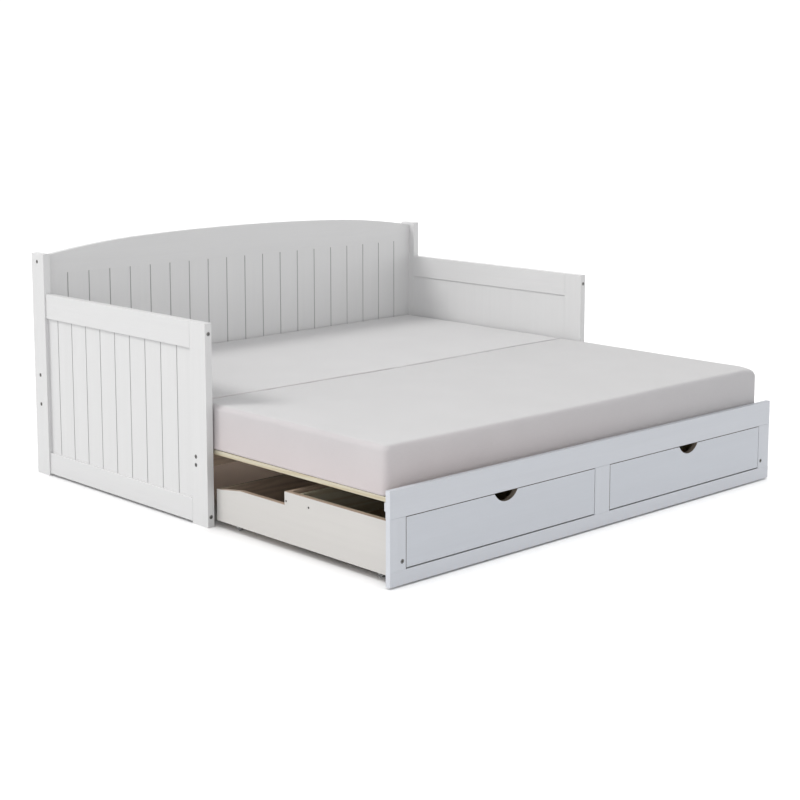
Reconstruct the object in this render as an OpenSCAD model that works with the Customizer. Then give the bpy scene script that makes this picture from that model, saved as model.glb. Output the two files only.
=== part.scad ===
// Twin-to-king trundle daybed, drawn fully extended.
// Origin: floor level, middle of the width and of the extended depth.
// -Y is the front, +X is on the right of someone facing the front, +Z is up.
// "From the back" means the distance from the plane of the rear posts' back faces.

/* [Overall] */
// Width over the rear posts and over the pull-out panel
bed_w = 2030; // [1980:5:2080]
// Depth from the back of the rear posts to the front of the extended panel
open_depth = 2070; // [2060:1:2090]
// Depth from the back of the rear posts to the front of the front posts
frame_depth = 1128; // [1124:1:1140]
// Height of the rear posts
rear_post_h = 884; // [860:1:920]
// Height of the front posts and of the side rails
side_h = 726; // [680:1:760]
// Radius of the eased edges of the painted boards
ease_r = 1.5; // [1:0.5:4]

/* [Frame] */
// Thickness of the rear posts across the width
rear_post_t = 30; // [28:1:34]
// Depth of the rear posts from back to front
rear_post_d = 88; // [80:1:100]
// Thickness of the side rails and of the front posts
side_t = 28; // [24:1:30]
// How far the rear posts stand proud of the sides
side_inset = 6; // [3:1:8]
// Depth of the front posts from back to front
front_post_d = 92; // [84:1:100]
// Height of the top rail of each side
side_top_rail_h = 96; // [70:1:120]
// Height of the bottom rail of each side
side_low_rail_h = 84; // [60:1:110]
// Gap under the bottom rail of each side
side_floor_gap = 8; // [4:1:20]

/* [Beadboard] */
// Spacing of the grooves
groove_pitch = 98.5; // [98:0.1:99]
// Width of a groove at the face
groove_w = 5; // [3:0.5:7]
// Depth of a groove
groove_d = 2.6; // [1.5:0.1:3.5]
// Depth of the side boards behind the faces of their rails
side_board_set = 9; // [6:1:10]
// Thickness of the side boards
side_board_t = 14; // [12:1:14]
// Depth of the back boards behind the face of the arched rail
back_board_set = 1; // [0.5:0.5:9]

/* [Back] */
// Thickness of the rails of the back
back_t = 28; // [24:1:30]
// Distance of the front face of the back from the back of the posts
back_face = 55; // [50:1:56]
// Height of the straight lower edge of the arched rail
arch_low_z = 800; // [780:1:815]
// Height of the arched rail where it meets the posts
arch_end_z = 874; // [850:1:880]
// Half the length of the flatter middle of the arch
arch_mid_half = 500; // [450:10:550]
// Radius of the flatter middle of the arch
arch_mid_r = 12445; // [12000:5:13000]
// Radius of the shoulders of the arch
arch_end_r = 3900; // [3500:10:4500]

/* [Slats] */
// Width of a slat
slat_w = 70; // [60:1:70]
// Thickness of a fixed slat
slat_t = 17; // [15:1:18]
// Height of the lying surface, which is the top of the fixed slats
slat_top_z = 275; // [272:1:280]
// Height of the underside of the front beam
beam_low_z = 203; // [202:1:206]

/* [Pull-out] */
// Thickness of the front panel
panel_t = 20; // [18:1:22]
// Gap between the front panel and the floor
panel_floor_gap = 6; // [3:1:10]
// Height of the top edge of the front panel
panel_top_z = 313; // [300:1:330]
// Height of the top edge of the drawer openings
drawer_open_top = 222; // [220:1:224]
// Height of the bottom edge of the drawer openings
drawer_open_low = 54; // [50:1:56]
// Width of the stiles at the two ends of the panel
panel_end_stile = 68; // [66:1:70]
// Width of the stile between the drawers
panel_mid_stile = 80; // [70:1:90]
// Height of the low middle part of the sled sides
sled_low_z = 153; // [145:1:165]
// Height of the sled at its rear end, where the sides slope down to the rear board
sled_rear_z = 138; // [130:1:145]
// Height of the tall front part of the sled sides
sled_high_z = 199; // [195:1:199]
// Gap between the sled sides and the floor
sled_floor_gap = 24; // [22:1:28]
// Length of the tall part of the sled sides
sled_high_len = 543; // [535:1:560]

/* [Drawers] */
// Depth of the drawer boxes behind their fronts
drawer_len = 515; // [480:1:517]
// Thickness of the sides and backs of the drawers
drawer_side_t = 12; // [11:1:14]
// Width of the finger notch in each drawer front
notch_w = 110; // [90:1:130]
// Depth of the finger notch
notch_h = 32; // [24:1:40]

/* [Mattresses] */
// Gap between a mattress and each side of the frame
mattress_side_gap = 8; // [4:1:30]
// Width of each mattress
mattress_w = 975; // [960:1:975]
// Thickness of each mattress
mattress_t = 172; // [120:1:180]

/* [Casters] */
// Radius of the caster wheels
wheel_r = 16; // [15:0.5:17]
// Width of the caster wheels
wheel_w = 14; // [12:1:15]

/* [Hidden] */
$fn = 48;

paint = [0.92, 0.92, 0.92];
pine = [0.86, 0.80, 0.66];
board_inside = [0.80, 0.76, 0.70];
steel = [0.62, 0.63, 0.65];
foam_cover = [0.80, 0.79, 0.79];
caster_grey = [0.45, 0.46, 0.47];

half_w = bed_w / 2;
// Outer and inner faces of the sides, as distances from the middle
side_out = half_w - side_inset;
side_in = side_out - side_t;
back_half = half_w - rear_post_t;
// Where the front posts begin, from the back
front_post_from = frame_depth - front_post_d;
side_rail_low_z = side_h - side_top_rail_h;
side_low_rail_top = side_floor_gap + side_low_rail_h;
// The back's bottom rail carries the rear ends of the slats and backs the mattress
back_low_rail_z = 225;
back_low_rail_top = 420;
back_board_t = 12;
// The grooves of the side boards are spaced about this distance from the back
side_groove_mid = 552;
side_groove_steps = 4;
back_groove_steps = 9;

// Sliding and fixed slats lie in turn, with a sliding one at each end
slat_count = 25;
slat_half_span = side_in - 10;
slat_pitch = (2 * slat_half_span - slat_w) / (slat_count - 1);
slat_low_z = slat_top_z - slat_t;
// Clearance of the sliding slats above the front beam and under the mattress
slide_gap = 0.4;
ledger_d = 20;
ledger_h = 28;
beam_from = front_post_from + 12;
beam_t = 28;
sliding_from = beam_from - 48;
batten_from = sliding_from + 4;
batten_d = 36;
batten_h = 24;
spacer_h = 4;

panel_from = open_depth - panel_t;
panel_opening_w = (bed_w - 2 * panel_end_stile - panel_mid_stile) / 2;
panel_ledger_d = 48;
panel_ledger_half = side_in - 5;
sled_out = half_w - 43;
sled_side_t = 18;
sled_in = sled_out - sled_side_t;
sled_rear_from = frame_depth + 4;
sled_rear_t = 24;
sled_ramp_len = 136;
sled_board_t = 16;
sled_high_from = panel_from - sled_high_len;

// Gap around a drawer front
drawer_gap = 2;
// Drawer boxes lie between these distances from the middle
drawer_set_in = 6;
drawer_out = half_w - panel_end_stile - drawer_set_in;
drawer_mid = panel_mid_stile / 2 + drawer_set_in;
drawer_front_t = 18;
drawer_box_from = open_depth - drawer_front_t - drawer_len;
drawer_box_low = 62;
drawer_box_top = 190;
// Gap under a drawer front
drawer_foot_gap = 4;
bottom_panel_z = 68;
bottom_panel_t = 4;
bottom_panel_in = 4.5;
runner_z = 158;
runner_h = 18;
runner_in = 5.5;
runner_gap = 0.5;

mattress_half_l = side_in - mattress_side_gap;
mattress_from = back_face + 3;
mattress_gap = 1;
// The extension mattress clears the fixed slats by this much
mattress_lift = 0.3;
mattress_edge_r = 24;

bolt_head_r = 7.5;
bolt_head_h = 3;
// How far a bolt's head lies below the face
bolt_sink = 0.5;
bolt_r = 3;
bolt_fit = 0.05;
socket_r = 3.2;
socket_d = 2;
// Positions of the bolts: [point on the outer face, turn to aim the shank, length]
aim_right = [0, 90, 0];
aim_back = [-90, 0, 0];
aim_front = [90, 0, 0];
post_bolt_d = back_face - back_t / 2;
side_mid = side_out - side_t / 2;
rear_post_bolts = [for (z = [283, 400, 851]) [[-half_w, yb(post_bolt_d), z], aim_right, 76]];
front_post_bolts = [for (z = [38, 688]) [[-side_mid, yb(frame_depth), z], aim_back, 130]];
side_tail_bolts = [for (z = [50, 678]) [[-side_mid, yb(0), z], aim_front, 126]];
beam_bolts = [for (z = [216, 246]) [[-side_out, yb(beam_from + beam_t / 2), z], aim_right, 70]];
panel_bolt_z = 82;
panel_bolt = [[-(sled_out - sled_side_t / 2), yb(open_depth), panel_bolt_z], aim_back, 62];
screw_z = runner_z + runner_h / 2;
sled_screw_points = [sled_high_from + sled_board_t / 2, sled_high_from + 124];
screw_r = 2;
screw_head_r = 4;
screw_head_h = 2;
screw_sink = 1;
screw_len = 24;

// Distances of the two rows of casters from the back
caster_rear = sled_rear_from + 89;
caster_front = panel_from - 100;
caster_points = [for (d = [caster_rear, caster_front]) for (side = [-1, 0, 1]) [side, d]];
caster_inset = 14;
axle_r = 2.5;
bracket_t = 2;
cheek_gap = 1.5;
bracket_half = 14;

function yb(d) = open_depth / 2 - d;
function slat_x(i) = (i - (slat_count - 1) / 2) * slat_pitch;
function opening_mid() = panel_mid_stile / 2 + panel_opening_w / 2;
function caster_x(side) = side == 0 ? sled_board_t / 2 + caster_inset : side * (sled_in - caster_inset);

// ---- Shared shapes ----

// Rectangle with rounded corners, its lowest corner at the origin
module eased_rect(w, h, r) {
    translate([r, 0]) square([w - 2 * r, h]);
    translate([0, r]) square([w, h - 2 * r]);
    for (x = [r, w - r]) for (y = [r, h - r]) translate([x, y]) circle(r);
}

// Board that runs along X between two heights and two distances from the back
module board_x(x0, x1, d0, d1, z0, z1, r = ease_r) {
    translate([x0, yb(d1), z0]) rotate([90, 0, 90])
        linear_extrude(x1 - x0) eased_rect(d1 - d0, z1 - z0, r);
}

// Board that runs from back to front
module board_y(x0, x1, d0, d1, z0, z1, r = ease_r) {
    translate([x0, yb(d0), z0]) rotate([90, 0, 0])
        linear_extrude(d1 - d0) eased_rect(x1 - x0, z1 - z0, r);
}

// Upright board
module board_z(x0, x1, d0, d1, z0, z1, r = ease_r) {
    translate([x0, yb(d1), z0]) linear_extrude(z1 - z0) eased_rect(x1 - x0, d1 - d0, r);
}

// Upright post whose top edges are eased too
module post(x0, x1, d0, d1, h) {
    intersection() {
        board_z(x0, x1, d0, d1, 0, h);
        board_y(x0, x1, d0 - 1, d1 + 1, -10, h);
        board_x(x0 - 1, x1 + 1, d0, d1, -10, h);
    }
}

// Left-hand shape as drawn, or its mirror image for the right
module on_side(side) {
    mirror([side > 0 ? 1 : 0, 0, 0]) children();
}

// Sunk head with a hexagon socket, and its shank
module bolt(length) {
    difference() {
        translate([0, 0, bolt_sink]) cylinder(r = bolt_head_r, h = bolt_head_h);
        cylinder(r = socket_r, h = bolt_sink + socket_d, $fn = 6);
    }
    translate([0, 0, bolt_sink + bolt_head_h]) cylinder(r = bolt_r, h = length);
}

module bolt_hole(length) {
    translate([0, 0, -1]) cylinder(r = bolt_head_r + bolt_fit, h = 1 + bolt_sink + bolt_head_h);
    cylinder(r = bolt_r + bolt_fit, h = length + 6);
}

module bolts(places) {
    for (b = places) translate(b[0]) rotate(b[1]) bolt(b[2]);
}

module bolt_holes(places) {
    for (b = places) translate(b[0]) rotate(b[1]) bolt_hole(b[2]);
}

// ---- Main frame ----

module rear_post(side) color(paint) on_side(side) {
    difference() {
        post(-half_w, -back_half, 0, rear_post_d, rear_post_h);
        bolt_holes(rear_post_bolts);
        bolt_holes(side_tail_bolts);
    }
}

module front_post(side) color(paint) on_side(side) {
    difference() {
        post(-side_out, -side_in, front_post_from, frame_depth, side_h);
        bolt_holes(front_post_bolts);
        bolt_holes(beam_bolts);
    }
}

module side_rail(side, z0, z1) color(paint) on_side(side) {
    difference() {
        board_y(-side_out, -side_in, rear_post_d, front_post_from, z0, z1);
        bolt_holes(front_post_bolts);
        bolt_holes(side_tail_bolts);
    }
}

// Plan of a board of planks, with V grooves along its outer long edge
module groove_plan(length, thickness, first, pitch, count) {
    difference() {
        square([length, thickness]);
        for (i = [0 : count - 1]) translate([first + i * pitch, 0])
            polygon([[-groove_w / 2, -0.01], [0, groove_d], [groove_w / 2, -0.01]]);
    }
}

module side_beadboard(side) color(paint) on_side(side) {
    length = front_post_from - rear_post_d;
    first = side_groove_mid - side_groove_steps * groove_pitch - rear_post_d;
    translate([-side_out + side_board_set, yb(rear_post_d), side_low_rail_top])
        rotate([0, 0, -90]) linear_extrude(side_rail_low_z - side_low_rail_top)
            groove_plan(length, side_board_t, first, groove_pitch, 2 * side_groove_steps + 1);
}

// Outline of the arch: a flat middle arc with a tighter shoulder arc on each side
module arch_outline() {
    shoulder = back_half - arch_mid_half;
    slope = arch_mid_half / arch_mid_r;
    mid_drop = arch_mid_half * slope / 2;
    end_drop = shoulder * slope + shoulder * shoulder / (2 * arch_end_r);
    top = arch_end_z + mid_drop + end_drop;
    lean = asin(slope);
    difference() {
        intersection() {
            translate([0, top - arch_mid_r]) circle(arch_mid_r, $fn = 1800);
            translate([-arch_mid_half, arch_low_z]) square([2 * arch_mid_half, 400]);
        }
        translate([-bed_w, arch_low_z - 1]) square([2 * bed_w, 1]);
    }
    for (m = [0, 1]) mirror([m, 0]) intersection() {
        translate([arch_mid_half - arch_end_r * sin(lean),
                   top - arch_mid_r * (1 - cos(lean)) - arch_end_r * cos(lean)])
            circle(arch_end_r, $fn = 1200);
        translate([arch_mid_half - 0.01, arch_low_z]) square([shoulder + 0.01, 400]);
    }
}

module back_arched_rail() color(paint) {
    difference() {
        translate([0, yb(back_face - back_t), 0]) rotate([90, 0, 0])
            linear_extrude(back_t) arch_outline();
        for (side = [-1, 1]) on_side(side) bolt_holes(rear_post_bolts);
    }
}

module back_beadboard() color(paint) {
    count = 2 * back_groove_steps + 1;
    first = back_half - back_groove_steps * groove_pitch;
    translate([-back_half, yb(back_face - back_board_set), back_low_rail_top])
        linear_extrude(arch_low_z - back_low_rail_top)
            groove_plan(2 * back_half, back_board_t, first, groove_pitch, count);
}

module back_bottom_rail() color(paint) {
    difference() {
        board_x(-back_half, back_half, back_face - back_t, back_face, back_low_rail_z, back_low_rail_top);
        for (side = [-1, 1]) on_side(side) bolt_holes(rear_post_bolts);
    }
}

module rear_slat_ledger() color(pine) {
    board_x(-slat_half_span, slat_half_span, back_face, back_face + ledger_d,
            slat_low_z - ledger_h, slat_low_z, 1);
}

module front_beam() color(paint) {
    difference() {
        board_x(-side_in, side_in, beam_from, beam_from + beam_t, beam_low_z, slat_low_z, 1.5);
        for (side = [-1, 1]) on_side(side) bolt_holes(beam_bolts);
    }
}

module fixed_slats() color(pine) {
    for (i = [1 : 2 : slat_count - 2])
        board_y(slat_x(i) - slat_w / 2, slat_x(i) + slat_w / 2,
                back_face + 1, beam_from + beam_t, slat_low_z, slat_top_z, 1.5);
}

module frame_bolts() color(steel) {
    for (side = [-1, 1]) on_side(side) {
        bolts(rear_post_bolts);
        bolts(front_post_bolts);
        bolts(side_tail_bolts);
        bolts(beam_bolts);
    }
}

module mattress(d0, lift) color(foam_cover) {
    board_x(-mattress_half_l, mattress_half_l, d0, d0 + mattress_w,
            slat_top_z + lift, slat_top_z + lift + mattress_t, mattress_edge_r);
}

// ---- Pull-out ----

module panel_rail(z0, z1) color(paint) {
    board_x(-half_w, half_w, panel_from, open_depth, z0, z1);
}

module panel_end(side) color(paint) on_side(side) {
    difference() {
        board_z(-half_w, -half_w + panel_end_stile, panel_from, open_depth,
                drawer_open_low, drawer_open_top, 1.5);
        bolt_holes([panel_bolt]);
    }
}

module panel_stile_middle() color(paint) {
    board_z(-panel_mid_stile / 2, panel_mid_stile / 2, panel_from, open_depth,
            drawer_open_low, drawer_open_top, 1.5);
}

module panel_slat_ledger() color(paint) {
    board_x(-panel_ledger_half, panel_ledger_half, panel_from - panel_ledger_d, panel_from,
            slat_low_z + slide_gap - ledger_h, slat_low_z + slide_gap, 1);
}

module sliding_slats() color(pine) {
    for (i = [0 : 2 : slat_count - 1])
        board_y(slat_x(i) - slat_w / 2, slat_x(i) + slat_w / 2,
                sliding_from, panel_from, slat_low_z + slide_gap, slat_top_z - slide_gap, 1.5);
}

module slat_batten() color(pine) {
    top = slat_low_z + slide_gap - spacer_h;
    board_x(-slat_half_span, slat_half_span, batten_from, batten_from + batten_d,
            top - batten_h, top, 1);
}

module batten_spacers() color(pine) {
    inset = 2;
    for (i = [0 : 2 : slat_count - 1])
        translate([slat_x(i) - slat_w / 2 + inset, yb(batten_from + batten_d - inset),
                   slat_low_z + slide_gap - spacer_h])
            cube([slat_w - 2 * inset, batten_d - 2 * inset, spacer_h]);
}

// Side of the sled with its step: low behind, with a slope at the rear end, tall beside the drawers
module sled_side(side) color(paint) on_side(side) {
    rear = sled_rear_from + sled_rear_t;
    difference() {
        translate([-sled_out, yb(rear), 0]) rotate([90, 0, 90]) mirror([1, 0, 0]) linear_extrude(sled_side_t)
            polygon([
                [0, sled_floor_gap],
                [panel_from - rear, sled_floor_gap],
                [panel_from - rear, sled_high_z],
                [sled_high_from - rear, sled_high_z],
                [sled_high_from - rear, sled_low_z],
                [sled_rear_from + sled_ramp_len - rear, sled_low_z],
                [0, sled_rear_z]
            ]);
        bolt_holes([panel_bolt]);
        sled_screw_holes();
    }
}

module sled_rear_board() color(paint) {
    board_x(-sled_out, sled_out, sled_rear_from, sled_rear_from + sled_rear_t,
            sled_floor_gap, sled_rear_z, 1);
}

module sled_middle_rail() color(board_inside) {
    board_y(-sled_board_t / 2, sled_board_t / 2, sled_rear_from + sled_rear_t, sled_high_from,
            sled_floor_gap, sled_rear_z, 1);
}

module housing_rear_board() color(board_inside) {
    difference() {
        board_x(-sled_in, sled_in, sled_high_from, sled_high_from + sled_board_t,
                sled_floor_gap, sled_high_z, 1);
        for (side = [-1, 1]) on_side(side) sled_screw_holes();
    }
}

module housing_divider() color(board_inside) {
    board_y(-sled_board_t / 2, sled_board_t / 2, sled_high_from + sled_board_t, panel_from,
            sled_floor_gap, sled_high_z, 1);
}

// Wooden strips that the grooved drawer sides run on
module drawer_runners() color(pine) {
    from = sled_high_from + sled_board_t;
    for (side = [-1, 1]) on_side(side) difference() {
        union() {
            board_y(-sled_in, -(drawer_out - runner_in), from, panel_from - 2,
                    runner_z, runner_z + runner_h, 1);
            board_y(-(drawer_mid + runner_in), -sled_board_t / 2, from, panel_from - 2,
                    runner_z, runner_z + runner_h, 1);
        }
        sled_screw_holes();
    }
}

module panel_bolts() color(steel) {
    for (side = [-1, 1]) on_side(side) bolts([panel_bolt]);
}

module at_sled_screws() {
    for (d = sled_screw_points) translate([-sled_out, yb(d), screw_z]) rotate([0, 90, 0]) children();
}

// Sunk wood screw: a cone head and a plain shank
module sled_screws() color(steel) {
    for (side = [-1, 1]) on_side(side) at_sled_screws() {
        translate([0, 0, screw_sink]) cylinder(r1 = screw_head_r, r2 = screw_r, h = screw_head_h);
        translate([0, 0, screw_sink + screw_head_h]) cylinder(r = screw_r, h = screw_len);
    }
}

module sled_screw_holes() {
    at_sled_screws() {
        translate([0, 0, -1]) cylinder(r = screw_head_r + bolt_fit, h = 1 + screw_sink);
        translate([0, 0, screw_sink])
            cylinder(r1 = screw_head_r + bolt_fit, r2 = screw_r + bolt_fit, h = screw_head_h);
        cylinder(r = screw_r + bolt_fit, h = screw_len + 6);
    }
}

// ---- Drawers ----

// The front of a drawer, with its half-moon finger notch
module drawer_front(side) color(paint) on_side(side) {
    w = panel_opening_w - 2 * drawer_gap;
    low = drawer_open_low + drawer_foot_gap;
    top = drawer_open_top - drawer_gap;
    notch_r = (notch_w * notch_w / 4 + notch_h * notch_h) / (2 * notch_h);
    x0 = -opening_mid() - w / 2;
    difference() {
        intersection() {
            board_x(x0, x0 + w, open_depth - drawer_front_t, open_depth, low, top, 2);
            board_z(x0, x0 + w, open_depth - drawer_front_t, open_depth, low - 1, top + 1, 2);
        }
        translate([-opening_mid(), yb(open_depth) - 1, top - notch_h + notch_r])
            rotate([-90, 0, 0]) cylinder(r = notch_r, h = drawer_front_t + 2, $fn = 96);
        drawer_bottom_slot();
    }
}

// Room for the bottom panel in the grooves around it
module drawer_bottom_slot() {
    slack = 0.1;
    translate([-drawer_out + drawer_side_t - bottom_panel_in - slack,
               yb(open_depth - drawer_front_t + bottom_panel_in + slack),
               bottom_panel_z - slack])
        cube([drawer_out - drawer_mid - 2 * (drawer_side_t - bottom_panel_in - slack),
              drawer_len - drawer_side_t + 2 * (bottom_panel_in + slack),
              bottom_panel_t + 2 * slack]);
}

// Room for a runner strip and a little clearance around it
module runner_groove(x0, x1) {
    translate([x0, yb(open_depth), runner_z - runner_gap])
        cube([x1 - x0, open_depth, runner_h + 2 * runner_gap]);
}

module drawer_outer_side(side) color(pine) on_side(side) {
    difference() {
        board_y(-drawer_out, -drawer_out + drawer_side_t, drawer_box_from,
                open_depth - drawer_front_t, drawer_box_low, drawer_box_top, 1);
        drawer_bottom_slot();
        runner_groove(-drawer_out - 1, -drawer_out + runner_in + runner_gap);
    }
}

module drawer_inner_side(side) color(pine) on_side(side) {
    difference() {
        board_y(-drawer_mid - drawer_side_t, -drawer_mid, drawer_box_from,
                open_depth - drawer_front_t, drawer_box_low, drawer_box_top, 1);
        drawer_bottom_slot();
        runner_groove(-drawer_mid - runner_in - runner_gap, -drawer_mid + 1);
    }
}

module drawer_back(side) color(pine) on_side(side) {
    difference() {
        board_x(-drawer_out + drawer_side_t, -drawer_mid - drawer_side_t,
                drawer_box_from, drawer_box_from + drawer_side_t, drawer_box_low, drawer_box_top, 1);
        drawer_bottom_slot();
    }
}

module drawer_bottom(side) color(board_inside) on_side(side) {
    translate([-drawer_out + drawer_side_t - bottom_panel_in,
               yb(open_depth - drawer_front_t + bottom_panel_in), bottom_panel_z])
        cube([drawer_out - drawer_mid - 2 * (drawer_side_t - bottom_panel_in),
              drawer_len - drawer_side_t + 2 * bottom_panel_in, bottom_panel_t]);
}

// ---- Casters ----

// Steel bracket: a flange on the board, a top plate and two cheeks for the axle
module caster_bracket() {
    half_gap = wheel_w / 2 + cheek_gap;
    plate_z = wheel_r * 2 + 3;
    flange_low = plate_z - 8;
    flange_h = 26;
    cheek_r = 6;
    difference() {
        union() {
            translate([-caster_inset, -bracket_half, flange_low])
                cube([bracket_t, 2 * bracket_half, flange_h]);
            translate([-caster_inset, -bracket_half, plate_z])
                cube([caster_inset + half_gap + bracket_t, 2 * bracket_half, bracket_t]);
            for (x = [-half_gap - bracket_t, half_gap]) {
                translate([x, 0, wheel_r]) rotate([0, 90, 0]) cylinder(r = cheek_r, h = bracket_t);
                translate([x, -cheek_r, wheel_r]) cube([bracket_t, 2 * cheek_r, plate_z - wheel_r]);
            }
        }
        translate([-half_gap - bracket_t - 1, 0, wheel_r]) rotate([0, 90, 0])
            cylinder(r = axle_r + bolt_fit, h = 2 * (half_gap + bracket_t + 1));
    }
}

// Places a caster; the bracket's flange faces the board that carries it
module at_caster(side, d) {
    translate([caster_x(side), yb(d), 0]) mirror([side > 0 ? 1 : 0, 0, 0]) children();
}

module caster_brackets() color(steel) {
    for (c = caster_points) at_caster(c[0], c[1]) caster_bracket();
}

module caster_axles() color(steel) {
    reach = wheel_w / 2 + cheek_gap + bracket_t;
    for (c = caster_points) at_caster(c[0], c[1])
        translate([-reach, 0, wheel_r]) rotate([0, 90, 0]) cylinder(r = axle_r, h = 2 * reach);
}

// Wheel with a rounded tread, a hub on each side and its bore
module caster_wheel(side, d) color(caster_grey) at_caster(side, d) {
    tread_r = 2;
    hub_t = 3;
    web_inset = 1.5;
    rim = wheel_r - 5;
    half = wheel_w / 2;
    translate([0, 0, wheel_r]) rotate([0, 90, 0]) rotate_extrude($fn = 64) {
        translate([axle_r + bolt_fit, web_inset - half]) square([rim, wheel_w - 2 * web_inset]);
        translate([axle_r + bolt_fit, -half]) square([hub_t, wheel_w]);
        translate([rim, -half]) square([wheel_r - rim - tread_r, wheel_w]);
        translate([rim, tread_r - half]) square([wheel_r - rim, wheel_w - 2 * tread_r]);
        for (s = [-1, 1]) translate([wheel_r - tread_r, s * (half - tread_r)]) circle(tread_r);
    }
}

rear_post(-1);  // rear_post_left
rear_post(1);  // rear_post_right
front_post(-1);  // front_post_left
front_post(1);  // front_post_right
side_rail(-1, side_rail_low_z, side_h);  // side_top_rail_left
side_rail(1, side_rail_low_z, side_h);  // side_top_rail_right
side_rail(-1, side_floor_gap, side_low_rail_top);  // side_bottom_rail_left
side_rail(1, side_floor_gap, side_low_rail_top);  // side_bottom_rail_right
side_beadboard(-1);  // side_beadboard_left
side_beadboard(1);  // side_beadboard_right
back_arched_rail();
back_beadboard();
back_bottom_rail();
rear_slat_ledger();
front_beam();
fixed_slats();
frame_bolts();
mattress(mattress_from, 0);  // main_mattress
panel_rail(drawer_open_top, panel_top_z);  // panel_top_rail
panel_rail(panel_floor_gap, drawer_open_low);  // panel_bottom_rail
panel_end(-1);  // panel_stile_left
panel_stile_middle();
panel_end(1);  // panel_stile_right
panel_slat_ledger();
sliding_slats();
slat_batten();
batten_spacers();
sled_side(-1);  // sled_side_left
sled_side(1);  // sled_side_right
sled_rear_board();
sled_middle_rail();
housing_rear_board();
housing_divider();
drawer_runners();
panel_bolts();
sled_screws();
caster_brackets();
caster_axles();
drawer_front(-1);  // drawer_left_front
drawer_outer_side(-1);  // drawer_left_outer_side
drawer_inner_side(-1);  // drawer_left_inner_side
drawer_back(-1);  // drawer_left_back
drawer_bottom(-1);  // drawer_left_bottom
drawer_front(1);  // drawer_right_front
drawer_outer_side(1);  // drawer_right_outer_side
drawer_inner_side(1);  // drawer_right_inner_side
drawer_back(1);  // drawer_right_back
drawer_bottom(1);  // drawer_right_bottom
caster_wheel(-1, caster_rear);  // caster_wheel_rear_left
caster_wheel(0, caster_rear);  // caster_wheel_rear_middle
caster_wheel(1, caster_rear);  // caster_wheel_rear_right
caster_wheel(-1, caster_front);  // caster_wheel_front_left
caster_wheel(0, caster_front);  // caster_wheel_front_middle
caster_wheel(1, caster_front);  // caster_wheel_front_right
mattress(mattress_from + mattress_w + mattress_gap, mattress_lift);  // extension_mattress
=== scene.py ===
"""Looks of a twin-to-king trundle daybed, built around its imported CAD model."""

import math

import bmesh
import bpy
import numpy as np
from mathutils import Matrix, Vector, noise


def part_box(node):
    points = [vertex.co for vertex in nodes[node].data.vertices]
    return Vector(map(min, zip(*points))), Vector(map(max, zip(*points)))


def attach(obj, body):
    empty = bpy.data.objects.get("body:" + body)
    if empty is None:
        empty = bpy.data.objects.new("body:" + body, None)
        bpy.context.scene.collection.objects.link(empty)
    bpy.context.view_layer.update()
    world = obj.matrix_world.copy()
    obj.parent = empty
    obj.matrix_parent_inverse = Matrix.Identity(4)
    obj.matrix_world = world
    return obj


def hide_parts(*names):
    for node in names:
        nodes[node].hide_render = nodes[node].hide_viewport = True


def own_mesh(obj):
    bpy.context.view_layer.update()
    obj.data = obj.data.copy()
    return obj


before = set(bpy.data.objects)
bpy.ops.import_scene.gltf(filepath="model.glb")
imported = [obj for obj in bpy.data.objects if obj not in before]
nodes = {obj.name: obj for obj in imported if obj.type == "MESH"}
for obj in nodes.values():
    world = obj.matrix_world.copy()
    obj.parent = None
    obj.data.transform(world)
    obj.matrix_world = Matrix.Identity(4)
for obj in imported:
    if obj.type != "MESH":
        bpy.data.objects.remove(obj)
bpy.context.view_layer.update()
scene = bpy.context.scene

# ---- Node-tree helper -------------------------------------------------------


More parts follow.
